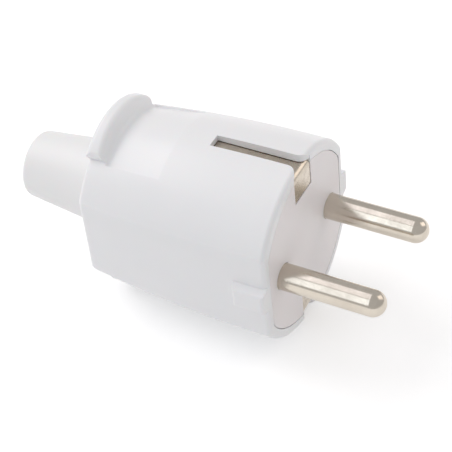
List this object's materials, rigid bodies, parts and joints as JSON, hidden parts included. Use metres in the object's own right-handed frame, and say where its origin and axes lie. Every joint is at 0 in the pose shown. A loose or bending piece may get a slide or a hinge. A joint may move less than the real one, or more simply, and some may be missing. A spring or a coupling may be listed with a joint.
{
  "type": "grounded plug",
  "caption": "Rewirable round-pin mains plug with side earth contacts, a rounded body with flattened sides and grip fins, and a tapered cable sleeve.",
  "frame": {"origin": "centre of the front face, where it meets the socket", "axes": "+X along the pins to their tips, +Y from the neutral pin to the line pin, +Z to one of the side earth contacts"},
  "size_m": [0.0747, 0.0348, 0.0382],
  "materials": {
    "shell_plastic": "white thermoplastic, moulded with a satin surface",
    "carrier_plastic": "off-white moulded plastic, satin",
    "sleeve_plastic": "white soft plastic, satin",
    "inner_plastic": "light grey moulded plastic, matt",
    "pin_plating": "nickel-plated brass, polished",
    "strip_plating": "nickel-plated brass strip, rolled",
    "screw_steel": "zinc-plated steel"
  },
  "bodies": {
    "root": {"shell": "shell_plastic", "contact_carrier": "carrier_plastic", "cable_sleeve": "sleeve_plastic", "pin_retainer": "inner_plastic", "cord_clamp_bar": "inner_plastic", "line_pin": "pin_plating", "neutral_pin": "pin_plating", "earth_bracket": "strip_plating", "line_wire_leaf": "strip_plating", "neutral_wire_leaf": "strip_plating", "line_terminal_screw": "screw_steel", "neutral_terminal_screw": "screw_steel", "earth_terminal_screw": "screw_steel", "earth_washer": "screw_steel", "earth_square_nut": "screw_steel", "retainer_screw_left": "screw_steel", "retainer_screw_right": "screw_steel", "cord_clamp_screw_left": "screw_steel", "cord_clamp_screw_right": "screw_steel"}
  },
  "joints": []
}
